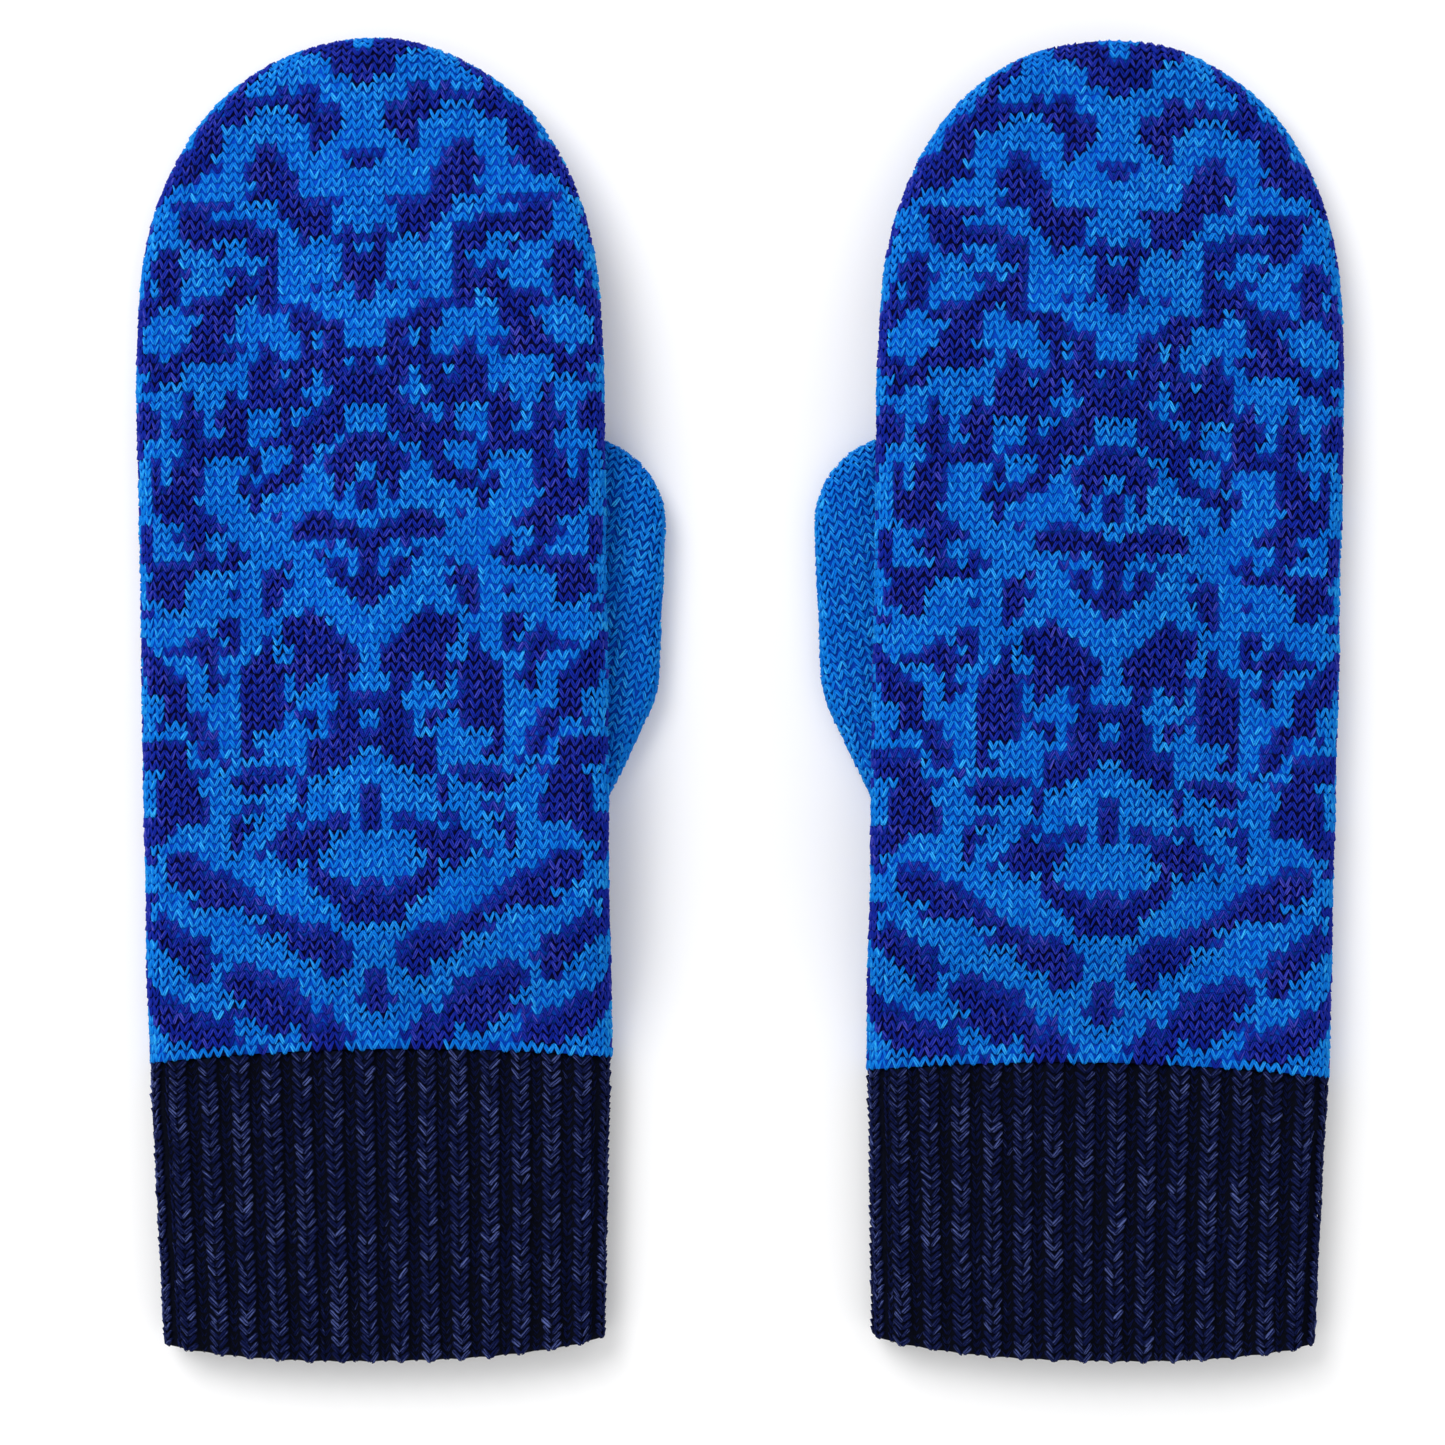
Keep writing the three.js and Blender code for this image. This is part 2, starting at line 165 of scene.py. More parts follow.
class Mitten:
    """One mitten's place, taken from its two joints, and its surfaces."""

    def __init__(self, name):
        joints = {joint["name"]: joint for joint in frame["joints"]}
        wrist = joints[name + "_wrist_flex"]
        base = joints[name + "_thumb_swing"]["pos_m"]
        self.name = name
        self.turn = math.atan2(-wrist["axis"][1], -wrist["axis"][0])
        self.c, self.s = math.cos(self.turn), math.sin(self.turn)
        px, py = wrist["pos_m"][0] / MM, wrist["pos_m"][1] / MM
        dx, dy = base[0] / MM - px, base[1] / MM - py
        self.thumb_x = self.c * dx + self.s * dy
        self.side = math.copysign(1, self.thumb_x)
        self.cuff = THUMB_RISE - SEAM_BOW - (self.c * dy - self.s * dx)
        seam = self.cuff + SEAM_BOW
        self.origin = (px + self.s * seam, py - self.c * seam)

    def placed(self, x, y, z):
        """A point of the mitten's own frame, in metres in the shared frame. Yarn that rests on
        the table is pressed flat against it."""
        world_x = self.origin[0] + self.c * x - self.s * y
        world_y = self.origin[1] + self.s * x + self.c * y
        return MM * np.stack([world_x, world_y, np.maximum(z, 0.02)], axis=-1)

    # ---- hand

    def from_outline(self, x, y):
        """Distance in from the hand's outline, and the direction that leads further in.

        The outline is where 1 - (x / half)^2 - round^squareness is 0, so the distance is that
        value over the length of its slope.
        """
        share = np.clip((y - self.cuff) / (SHOULDER - self.cuff), 0, 1)
        half = (WRIST_WIDTH + (HAND_WIDTH - WRIST_WIDTH) * share) / 2
        rounded = np.maximum(0, y - SHOULDER) / TIP_LENGTH
        level = 1 - (x / half) ** 2 - rounded**TIP_SQUARENESS
        slope_x = 2 * x / half**2
        slope_y = TIP_SQUARENESS * rounded ** (TIP_SQUARENESS - 1) / TIP_LENGTH
        steep = np.maximum(np.hypot(slope_x, slope_y), 1e-6)
        return level / steep, -slope_x / steep, -slope_y / steep

    def lift(self, x, y):
        """How far the hand is lifted by the thumb that lies under it."""
        toward_thumb = x * self.side
        inner_edge = abs(self.thumb_x) - THUMB_TIP_RADIUS
        inner_edge += THUMB_REACH * math.sin(THUMB_LEAN - THUMB_SWING_IN)
        across = smoothstep(toward_thumb, REST_STRIP - HAND_WIDTH / 2, inner_edge + PALM_RAISED_PAST)
        raised_from = THUMB_RISE - THUMB_BASE_RADIUS - THUMB_BELOW_BASE
        up = smoothstep(y, self.cuff + SEAM_BOW, raised_from)
        thumb_end = THUMB_RISE + THUMB_REACH + THUMB_TIP_RADIUS
        down = 1 - TIP_SETTLES * smoothstep(y, thumb_end, thumb_end + TIP_LENGTH)
        return PALM_RISE * across * up * down

    def wrist_seam(self, x):
        """Height of the wrist seam line across the mitten."""
        return self.cuff + SEAM_BOW * (1 - (x / (WRIST_WIDTH / 2)) ** 2)

    def hand(self, face, a, b, height):
        """A point on or above the back (face 1) or palm (face -1).

        The sheet lies flat in the middle and rolls through a quarter circle at its edge, then the
        whole is sheared up by the lift. a runs across so that the sheet always faces outwards.
        """
        x = face * a
        y = b
        inside, in_x, in_y = self.from_outline(x, y)
        travel = inside + EDGE_SLACK * HAND_RADIUS
        rolled = travel < HAND_RADIUS * math.pi / 2
        angle = np.where(rolled, np.clip(travel / HAND_RADIUS, -0.6, None), math.pi / 2)
        shift = np.where(rolled, HAND_RADIUS * (1 - np.cos(angle)) - inside, 0)
        x = x + in_x * shift
        y = y + in_y * shift
        out = np.where(rolled, np.cos(angle), 0)
        up = np.where(rolled, np.sin(angle), 1)
        normal_x, normal_y, normal_z = -in_x * out, -in_y * out, face * up
        step = 0.5
        lift = self.lift(x, y)
        slope_x = (self.lift(x + step, y) - self.lift(x - step, y)) / (2 * step)
        slope_y = (self.lift(x, y + step) - self.lift(x, y - step)) / (2 * step)
        normal_x = normal_x - slope_x * normal_z
        normal_y = normal_y - slope_y * normal_z
        length = np.sqrt(normal_x**2 + normal_y**2 + normal_z**2)
        z = HAND_RADIUS + lift + face * HAND_RADIUS * up
        return self.placed(
            x + normal_x / length * height,
            y + normal_y / length * height,
            z + normal_z / length * height,
        )

    def from_hole(self, x, y):
        """Distance from the middle of the thumb's base."""
        return np.hypot(x - self.thumb_x, y - THUMB_RISE)

    # ---- thumb

    def thumb(self, face, a, b, height):
        """A point on or above the top (face 1) or bottom (face -1) of the thumb."""
        u = face * a
        inside, in_u, in_v = from_thumb_outline(self.side, u, b)
        travel = inside + EDGE_SLACK * THUMB_RADIUS
        rolled = travel < THUMB_RADIUS * math.pi / 2
        angle = np.where(rolled, np.clip(travel / THUMB_RADIUS, -0.6, None), math.pi / 2)
        shift = np.where(rolled, THUMB_RADIUS * (1 - np.cos(angle)) - inside, 0)
        out = np.where(rolled, np.cos(angle), 0) * height
        up = np.where(rolled, np.sin(angle), 1)
        u = u + in_u * (shift - out)
        v = b + in_v * (shift - out)
        lean = self.side * THUMB_LEAN
        x = self.thumb_x + u * math.cos(lean) + v * math.sin(lean)
        y = THUMB_RISE - u * math.sin(lean) + v * math.cos(lean)
        return self.placed(x, y, THUMB_RADIUS + face * up * (THUMB_RADIUS + height))

    # ---- cuff

    def cuff_section(self, share, half_width, height):
        """x and z of a point on a flattened round section, flat above and below.

        share goes once round from the middle of the top, towards +x first.
        """
        flat = 2 * (half_width - HAND_RADIUS)
        arc = math.pi * HAND_RADIUS
        run = (share % 1) * 2 * (flat + arc) - flat / 2
        far = run > flat / 2 + arc
        side = np.where(far, -1, 1)
        run = np.where(far, run - flat - arc, run)
        turn = np.clip((run - flat / 2) / HAND_RADIUS, 0, None)
        radius = HAND_RADIUS + height
        x = side * (np.minimum(run, flat / 2) + radius * np.sin(turn))
        return x, HAND_RADIUS + side * radius * np.cos(turn)

    def cuff_tube(self, a, b, height):
        """A point on or above the cuff: a goes round it, b from its open end to the wrist seam."""
        up = b / self.cuff
        half_width = (CUFF_END_WIDTH + (WRIST_WIDTH - CUFF_END_WIDTH) * up) / 2
        x, z = self.cuff_section(a / CUFF_ROUND, half_width, height)
        end = CUFF_END_BOW * np.abs(x / half_width) ** CUFF_END_POWER
        y = end + (self.wrist_seam(x) - WRIST_GAP - end) * up
        return self.placed(x, y, z)


def thumb_touching_lines(side):
    """The directions in which straight lines touch the thumb's outline, how far out each lies,
    and the point that it touches. The outline is the hull of three circles, at the base, the
    widest part and the tip, so the farthest of the three counts in each direction."""
    heading = np.radians(np.arange(0, 360, 1.0))
    out = np.stack([np.cos(heading), np.sin(heading)], -1)
    middles = np.array([[0, 0], [side * SWELL_OUT, SWELL_RISE], [0, THUMB_REACH]])
    radii = np.array([THUMB_BASE_RADIUS, SWELL_RADIUS, THUMB_TIP_RADIUS])
    reach = out @ middles.T + radii
    best = reach.argmax(1)
    return out, reach.max(1), middles[best] + radii[best, None] * out


def from_thumb_outline(side, u, v):
    """Distance in from the thumb's outline, and the direction that leads further in.

    It is the distance to the nearest of the lines that touch the outline.
    """
    out, reach, _ = thumb_touching_lines(side)
    u, v = np.broadcast_arrays(u, v)
    flat_u, flat_v = u.ravel(), v.ravel()
    distance = np.full(u.size, np.inf)
    nearest = np.zeros(u.size, int)
    for number, ((out_u, out_v), far) in enumerate(zip(out, reach)):
        gap = far - flat_u * out_u - flat_v * out_v
        closer = gap < distance
        distance[closer] = gap[closer]
        nearest[closer] = number
    inwards = -out[nearest]
    return tuple(values.reshape(u.shape) for values in (distance, inwards[:, 0], inwards[:, 1]))


# ---------------------------------------------------------------- materials


def linear(red, green, blue):
    """A colour given in 0 to 255 display steps, as the linear values that a shader takes."""
    share = np.array([red, green, blue]) / 255
    low = share / 12.92
    high = ((share + 0.055) / 1.055) ** 2.4
    return (*np.where(share <= 0.04045, low, high), 1.0)


class Value:
    """A number that changes over a surface. Arithmetic on it adds the Math nodes."""

    def __init__(self, finish, socket):
        self.finish = finish
        self.socket = socket

    def math(self, operation, *others):
        terms = dict(enumerate((self, *others)))
        node = self.finish.node("ShaderNodeMath", {"operation": operation}, terms)
        return Value(self.finish, node.outputs[0])

    def __add__(self, other):
        return self.math("ADD", other)

    def __mul__(self, other):
        return self.math("MULTIPLY", other)

    def __sub__(self, other):
        return self.math("SUBTRACT", other)

    def __rsub__(self, other):
        negative = self.math("MULTIPLY", -1.0)
        return negative.math("ADD", other)

    __radd__ = __add__
    __rmul__ = __mul__

    def sine(self):
        return self.math("SINE")

    def between(self, low, high):
        """0 at low and 1 at high, clamped and smooth."""
        settings = {"interpolation_type": "SMOOTHSTEP"}
        node = self.finish.node("ShaderNodeMapRange", settings, {0: self, 1: low, 2: high})
        return Value(self.finish, node.outputs[0])


class Finish:
    """A material whose nodes are all made by one method."""

    def __init__(self, name):
        self.material = bpy.data.materials.new(name)
        self.material.use_nodes = True
        self.tree = self.material.node_tree
        self.tree.nodes.clear()

    def node(self, kind, settings, inputs):
        """Adds a node: its settings first, then each input's value or link."""
        node = self.tree.nodes.new(kind)
        for key, setting in settings.items():
            setattr(node, key, setting)
        for key, value in inputs.items():
            socket = node.inputs[key]
            source = value.socket if isinstance(value, Value) else value
            if isinstance(source, bpy.types.NodeSocket):
                self.tree.links.new(source, socket)
            else:
                socket.default_value = source
        return node

    def attribute(self, name):
        """A number that the mesh carries at its vertices."""
        node = self.node("ShaderNodeAttribute", {"attribute_name": name}, {})
        return Value(self, node.outputs["Fac"])

    def object_point(self):
        return self.node("ShaderNodeTexCoord", {}, {}).outputs["Object"]

    def noise(self, scale, detail=2.0, point=None):
        """Cloudy noise at a place of the piece, or at a given point."""
        inputs = {"Vector": point or self.object_point(), "Scale": scale, "Detail": detail}
        return Value(self, self.node("ShaderNodeTexNoise", {}, inputs).outputs[0])

    def yarn_place(self):
        """Share of the way round a strand, and millimetres along it."""
        place = self.node("ShaderNodeUVMap", {"uv_map": "Yarn"}, {}).outputs[0]
        parts = self.node("ShaderNodeSeparateXYZ", {}, {0: place}).outputs
        return Value(self, parts[0]), Value(self, parts[1])

    def mix(self, factor, first, second):
        """A colour between two colours."""
        inputs = {0: factor, 6: first, 7: second}
        return self.node("ShaderNodeMix", {"data_type": "RGBA"}, inputs).outputs[2]

    def bump(self, height, strength, distance):
        """The normal of a surface raised by height times distance, in metres."""
        inputs = {"Strength": strength, "Distance": distance, "Height": height}
        return self.node("ShaderNodeBump", {}, inputs).outputs[0]

    def surface(self, colour, roughness, normal, sheen, sheen_tint):
        """Ends the material in one matt shader with a soft sheen."""
        inputs = {
            "Base Color": colour,
            "Roughness": roughness,
            "Normal": normal,
            "Specular IOR Level": 0.1,
            "Sheen Weight": sheen,
            "Sheen Roughness": 0.45,
            "Sheen Tint": sheen_tint,
        }
        shader = self.node("ShaderNodeBsdfPrincipled", {}, inputs)
        self.node("ShaderNodeOutputMaterial", {}, {0: shader.outputs[0]})
        return self.material


def yarn_finish(name, shade, body, light, sheen):
    """Spun yarn: each ply has a painted highlight along its crown and painted shade at its sides,
    with fine fibres running along it.
    """
    finish = Finish(name)
    around, along = finish.yarn_place()
    stretched = finish.node("ShaderNodeCombineXYZ", {}, {0: around * 7, 1: along * 0.6}).outputs[0]
    fibres = finish.noise(1.0, 3.0, stretched)
    fuzz = finish.noise(3000.0, 3.0)
    cloud = finish.noise(90.0, 2.0)
    tone = finish.attribute("tone")
    # Painted light: the colour is lightest at the top of each ply and darkest at its sides and
    # underneath.
    crown = (around * (2 * math.pi) + math.pi / 2).sine()
    # The painted crown light, fibre streaks, fuzz, the leg's own tone and cloud together pick the
    # colour, from painted shade through the body colour to the painted highlight.
    painted_light_and_tone = crown * 0.42 + fibres * 0.9 + fuzz * 0.2 + tone * 0.6 + cloud * 0.25 - 0.90
    colour = finish.mix(painted_light_and_tone.between(-0.1, 0.35), shade, body)
    colour = finish.mix(painted_light_and_tone.between(0.4, 0.85), colour, light)
    normal = finish.bump(fibres * 0.7 + fuzz * 0.2, 0.6, 0.0002)
    return finish.surface(colour, 0.92 - fibres * 0.14, normal, sheen, light)


def backing_finish(name, dark, light):
    """The yarn carried behind the stitches, seen only in the gaps between them, coloured darker than
    the yarn itself as painted shade in those gaps.
    """
    finish = Finish(name)
    fuzz = finish.noise(900.0, 3.0)
    tone = finish.attribute("tone") + fuzz * 0.4 - 0.2
    colour = finish.mix(tone.between(0.1, 0.9), dark, light)
    normal = finish.bump(fuzz, 0.6, 0.0003)
    return finish.surface(colour, 0.95 - fuzz * 0.1, normal, 0.05, light)


def seam_finish(name, dark, light):
    """A single strand with its twist showing as slanting bands of painted shade."""
    finish = Finish(name)
    point = finish.object_point()
    wave = finish.node(
        "ShaderNodeTexWave",
        {"bands_direction": "DIAGONAL"},
        {"Vector": point, "Scale": 380.0, "Distortion": 2.0},
    ).outputs[1]
    twist = Value(finish, wave)
    fuzz = finish.noise(2200.0, 3.0)
    colour = finish.mix((twist * 0.7 + fuzz * 0.5).between(0.2, 0.9), dark, light)
    normal = finish.bump(twist + fuzz * 0.4, 0.6, 0.0002)
    return finish.surface(colour, 0.9 - twist * 0.1, normal, 0.2, light)


def floor_finish(name):
    """Matt white paper with a faint grain."""
    finish = Finish(name)
    grain = finish.noise(30.0)
    colour = finish.mix(grain, (0.93, 0.93, 0.935, 1), (0.95, 0.95, 0.955, 1))
    normal = finish.bump(grain, 0.02, 0.0005)
    return finish.surface(colour, 0.85 + grain * 0.05, normal, 0.0, (1, 1, 1, 1))


# ---------------------------------------------------------------- meshes


def piece(name, points, triangles, material, tone=None, maps=None):
    """A mesh with a tone at each vertex and its own corner maps, and its material in one slot."""
    mesh = bpy.data.meshes.new(name)
    mesh.vertices.add(len(points))
    mesh.vertices.foreach_set("co", points.astype(np.float32).ravel())
    mesh.loops.add(triangles.size)
    mesh.loops.foreach_set("vertex_index", triangles.astype(np.int32).ravel())
    mesh.polygons.add(len(triangles))
    mesh.polygons.foreach_set("loop_start", np.arange(0, triangles.size, 3, dtype=np.int32))
    mesh.update(calc_edges=True)
    mesh.polygons.foreach_set("use_smooth", np.ones(len(triangles), bool))
    if tone is not None:
        attribute = mesh.attributes.new("tone", "FLOAT", "POINT")
        attribute.data.foreach_set("value", tone.astype(np.float32).ravel())
    for map_name, corners in (maps or {}).items():
        layer = mesh.uv_layers.new(name=map_name)
        layer.data.foreach_set("uv", corners.astype(np.float32).ravel())
    if maps:
        mesh.uv_layers["Yarn"].active_render = True
    mesh.materials.append(material)
    made = bpy.data.objects.new(name, mesh)
    bpy.context.scene.collection.objects.link(made)
    return made


def grid_faces(rows, columns, round_about=False):
    """The four-cornered faces of a grid of vertices, numbered row by row."""
    across = columns if round_about else columns - 1
    row, column = np.meshgrid(np.arange(rows - 1), np.arange(across), indexing="ij")
    here = row * columns + column
    right = row * columns + (column + 1) % columns
    return np.stack([here, right, right + columns, here + columns], -1).reshape(-1, 4)


def walled(outer, inner, faces):
    """Gives a sheet a wall: the outer copy, the inner copy turned over, and a band round each
    open edge. Also says which of the sheet's points each of the new points comes from."""
    count = len(outer)
    start = faces.ravel()
    end = np.roll(faces, -1, axis=1).ravel()
    edge = ~np.isin(start * count + end, end * count + start)
    i, j = start[edge], end[edge]
    band = np.stack([j, i, i + count, j + count], -1)
    quads = np.concatenate([faces, faces[:, ::-1] + count, band])
    used, numbers = np.unique(quads, return_inverse=True)
    quads = numbers.reshape(-1, 4)
    triangles = np.concatenate([quads[:, [0, 1, 2]], quads[:, [0, 2, 3]]])
    return np.concatenate([outer, inner])[used], triangles, used % count


# A ply is two rings of four points between two end points. Places along it run from -1 to 1.
SIDES = 4
RING_ALONG = np.array([-0.66, 0.66])
RING_SIZE = np.array([1.0, 0.96])
RING_ANGLE = np.radians([90, 180, 270, 0])
PLY_POINTS = 2 + len(RING_ALONG) * SIDES


def ply_template():
    """Along and around place of the ply's 10 points, its 16 triangles, and their corner places."""
    k = np.arange(SIDES)
    n = (k + 1) % SIDES
    zero = 0 * k
    last = PLY_POINTS - 1
    rings = [1 + SIDES * r for r in range(len(RING_ALONG))]
    triangles = [np.stack([zero, rings[0] + k, rings[0] + n], -1)]
    shares = [np.stack([k + 0.5, k, k + 1], -1)]
    for low, high in zip(rings, rings[1:]):
        triangles += [
            np.stack([low + k, high + k, high + n], -1),
            np.stack([low + k, high + n, low + n], -1),
        ]
        shares += [np.stack([k, k, k + 1], -1), np.stack([k, k + 1, k + 1], -1)]
    triangles.append(np.stack([zero + last, rings[-1] + n, rings[-1] + k], -1))
    shares.append(np.stack([k + 0.5, k + 1, k], -1))
    triangles = np.concatenate(triangles)
    along = np.concatenate([[-1], np.repeat(RING_ALONG, SIDES), [1]])
    size = np.concatenate([[0], np.repeat(RING_SIZE, SIDES), [0]])
    angle = np.concatenate([[0], np.tile(RING_ANGLE, len(RING_ALONG)), [0]])
    around = np.concatenate(shares) / SIDES
    return along, size, angle, triangles, around, (along[triangles] + 1) / 2


PLY_ALONG, PLY_SIZE, PLY_ANGLE, PLY_TRIANGLES, PLY_AROUND, PLY_UP = ply_template()
STITCH_PLIES = 4  # two legs of two plies
CELL_MARGIN = 0.06

LEG_FOOT = -0.02  # where a leg starts and ends, in wales out from the middle of its stitch
LEG_TOP = 0.51
LEG_FILL = 0.55  # half a leg's width, as a share of the room for it
PLY_THICK = 0.44  # half a ply's height
PLY_TURN = 0.75  # radians that the plies turn from the middle of a leg to its end
PLY_CLOSER = 0.4  # how much closer together they are at the leg's ends
FOOT_SINK = 0.16
TOP_SINK = 0.32
TONE = 0.5
TONE_SPREAD = 0.10

# How uneven the legs are
UNEVEN_SIZE = 0.08  # share of the length, and of the width
UNEVEN_THICK = 0.12  # share of the thickness
UNEVEN_LEAN = 0.035  # wales, at the foot and at the top
UNEVEN_TURN = 0.4  # radians
UNEVEN_ACROSS = 0.06  # millimetres, as the next two are
UNEVEN_ALONG = 0.07
UNEVEN_HEIGHT = 0.05
UNEVEN_TONE = 0.08


def yarn_legs(seed, a, b, wale, course, depth, reach):
    """Offsets of every point of every ply: two legs per stitch, leaning apart upwards.

    A leg runs from the middle of its stitch out to the edge and sinks at both ends. It is as
    wide as the room between it and the next leg of its column, which is the course times the
    sine of the lean, so the legs lie side by side like a herringbone. Its two plies turn about
    each other: one lies at the cosine and the sine of a turn that grows along the leg. Each leg
    is a little different in place, lean, size, height and tone.
    """
    rng = np.random.default_rng(seed)
    a, b, depth = (
        np.repeat(np.broadcast_to(value, np.shape(a)).ravel(), STITCH_PLIES)[:, None]
        for value in (a, b, depth)
    )
    count = len(a)
    hand = np.tile([-1.0, -1.0, 1.0, 1.0], count // STITCH_PLIES)[:, None]
    ply = np.tile([-1.0, 1.0], count // 2)[:, None]
    jitter = np.repeat(rng.normal(0, 1, (9, count // 2, 1)), 2, axis=1)
    longer, wider, thicker, foot_out, top_out, raised, aside, onward, turned = jitter
    half_length = course * reach * (1 + UNEVEN_SIZE * longer)
    foot = LEG_FOOT + UNEVEN_LEAN * foot_out
    top = LEG_TOP + UNEVEN_LEAN * top_out
    lean = np.arctan2(hand * wale * (top - foot), 2 * half_length)
    half_width = LEG_FILL * course * np.abs(np.sin(lean)) * (1 + UNEVEN_SIZE * wider)
    thick = PLY_THICK * (1 + UNEVEN_THICK * thicker)
    turn = PLY_TURN * PLY_ALONG + UNEVEN_TURN * turned
    apart = ply * half_width * 0.5 * (1 - PLY_CLOSER * PLY_ALONG**2)
    beside = apart * np.cos(turn) + half_width * 0.5 * PLY_SIZE * np.cos(PLY_ANGLE)
    way = (PLY_ALONG + 1) / 2
    centre = hand * wale * (foot + (top - foot) * way) + UNEVEN_ACROSS * aside
    da = centre + beside * np.cos(lean)
    db = half_length * PLY_ALONG - beside * np.sin(lean) + UNEVEN_ALONG * onward
    sink = FOOT_SINK * np.maximum(-PLY_ALONG, 0) ** 2 + TOP_SINK * np.maximum(PLY_ALONG, 0) ** 2
    height = depth - thick - sink + apart * np.sin(turn) + thick * PLY_SIZE * np.sin(PLY_ANGLE)
    tone = rng.normal(TONE, TONE_SPREAD, (count, 1)) + UNEVEN_TONE * raised + 0 * PLY_ALONG
    return a + da, b + db, height + UNEVEN_HEIGHT * raised, tone, 2 * half_length / np.cos(lean)


def leg_maps(seed, lengths):
    """Corner maps of the plies: round and along the yarn, and one cell of a square for each."""
    count = len(lengths)
    offset = np.random.default_rng(seed).uniform(0, 9, (count, 1, 1))
    around = np.broadcast_to(PLY_AROUND, (count, *PLY_AROUND.shape))
    yarn = np.stack([around, PLY_UP * lengths[:, :, None] + offset], -1)
    cells = math.ceil(math.sqrt(count))
    cell = np.arange(count)[:, None, None]
    bake_x = cell % cells + CELL_MARGIN + (1 - 2 * CELL_MARGIN) * PLY_AROUND
    bake_y = cell // cells + CELL_MARGIN + (1 - 2 * CELL_MARGIN) * PLY_UP
    bake = np.stack([bake_x, bake_y], -1)
    return {"Yarn": yarn, "OFBake": bake / cells}


def stitches(
    name,
    seed,
    surface,
    a,
    b,
    keep,
    wale,
    course,
    depth,
    material,
    reach=LEG_REACH,
    painted_shade=0.0,
):
    """A piece made of the kept stitches, laid on a surface function of across, along and height."""
    chosen = np.repeat(np.broadcast_to(keep, np.shape(a)).ravel(), STITCH_PLIES)
    legs = yarn_legs(seed, a, b, wale, course, depth, reach)
    across, along, height, tone, lengths = (value[chosen] for value in legs)
    points = surface(across, along, height).reshape(-1, 3)
    count = len(across)
    triangles = (PLY_TRIANGLES[None] + PLY_POINTS * np.arange(count)[:, None, None]).reshape(-1, 3)
    maps = leg_maps(seed + 1, lengths)
    # The tone is lowered by the painted shade, which darkens the stitches in the ribs' valleys.
    return piece(name, points, triangles, material, tone - painted_shade, maps)


# ---------------------------------------------------------------- the pattern


def patches(across, row, width, height, seed):
    """Smooth random patches: random numbers on a grid of cells, blended between the cells."""
    grid = np.random.default_rng(seed).normal(0, 1, (90, 90))
    i, j = (across / width).astype(int), (row / height).astype(int)
    u, v = smoothstep(across / width - i, 0, 1), smoothstep(row / height - j, 0, 1)
    low = grid[j, i] * (1 - u) + grid[j, i + 1] * u
    high = grid[j + 1, i] * (1 - u) + grid[j + 1, i + 1] * u
    return low * (1 - v) + high * v


def rows_and_columns(rows, columns):
    """The row and the column of every stitch, with the columns counted from the middle."""
    return np.meshgrid(np.arange(rows), np.arange(columns) - (columns - 1) / 2, indexing="ij")


# Columns by rows of one cell: blobs, specks, stripes, bars, and the zones that choose between
# stripes and bars
PATCH_CELLS = ((2.3, 2.8), (1.5, 1.3), (4.0, 1.25), (1.4, 5.5), (5.0, 7.0))
DIAMOND_COLUMNS = 9.2
DIAMOND_ROWS = 11
CHEVRON_ROWS = 8.5
CHEVRON_SLANT = 0.8
CHEVRON_FADE = (12, 30)  # the rows over which the chevrons give way to the rest
INDIGO_SHARE = 0.48


def mirrored_pattern(rows, columns, seed):
    """True where a stitch is bright. The two halves of the width mirror each other.

    Blobs, short stripes and bars of random patches are added to a lattice of diamonds, and
    slanting bands that form chevrons take over above the wrist. The sum is cut where just over
    half is bright, and the first row is mostly bright.
    """
    row, column = rows_and_columns(rows, columns)
    across = np.abs(column)
    blobs, specks, stripes, bars, zone = (
        patches(across, row, width, height, seed + number)
        for number, (width, height) in enumerate(PATCH_CELLS)
    )
    lattice = np.cos(2 * math.pi * across / DIAMOND_COLUMNS)
    lattice = lattice * np.cos(2 * math.pi * row / DIAMOND_ROWS)
    field = 0.8 * blobs + 0.85 * specks + 1.1 * lattice
    field += 1.1 * stripes * smoothstep(zone, -0.2, 0.7) + 1.1 * bars * smoothstep(-zone, 0.0, 0.8)
    slanting = np.sin(2 * math.pi * (row - CHEVRON_SLANT * across) / CHEVRON_ROWS)
    chevrons = slanting + 0.7 * blobs + 0.5 * specks
    low = smoothstep(-row, -CHEVRON_FADE[1], -CHEVRON_FADE[0])
    field = field * (1 - low) + 1.2 * chevrons * low
    bright = field > np.quantile(field, INDIGO_SHARE)
    bright[0] |= specks[0] > -0.4
    return bright


# ---------------------------------------------------------------- the mittens

# Each yarn's painted shade, its own colour and its painted highlight. The leg's own tone and fibre
# streaks also move the colour between them.
LIGHT_PAINTED_SHADE = linear(0, 60, 164)
LIGHT_BODY = linear(0, 118, 216)
LIGHT_PAINTED_HIGHLIGHT = linear(64, 200, 252)
DARK_PAINTED_SHADE = linear(0, 2, 62)
DARK_BODY = linear(8, 34, 150)
DARK_PAINTED_HIGHLIGHT = linear(84, 84, 196)
CUFF_PAINTED_SHADE = linear(0, 0, 10)
CUFF_BODY = linear(6, 16, 62)
CUFF_PAINTED_HIGHLIGHT = linear(92, 106, 168)

bright_yarn = yarn_finish("bright_yarn", LIGHT_PAINTED_SHADE, LIGHT_BODY, LIGHT_PAINTED_HIGHLIGHT, 0.04)
indigo_yarn = yarn_finish("indigo_yarn", DARK_PAINTED_SHADE, DARK_BODY, DARK_PAINTED_HIGHLIGHT, 0.04)
navy_yarn = yarn_finish("navy_yarn", CUFF_PAINTED_SHADE, CUFF_BODY, CUFF_PAINTED_HIGHLIGHT, 0.0)
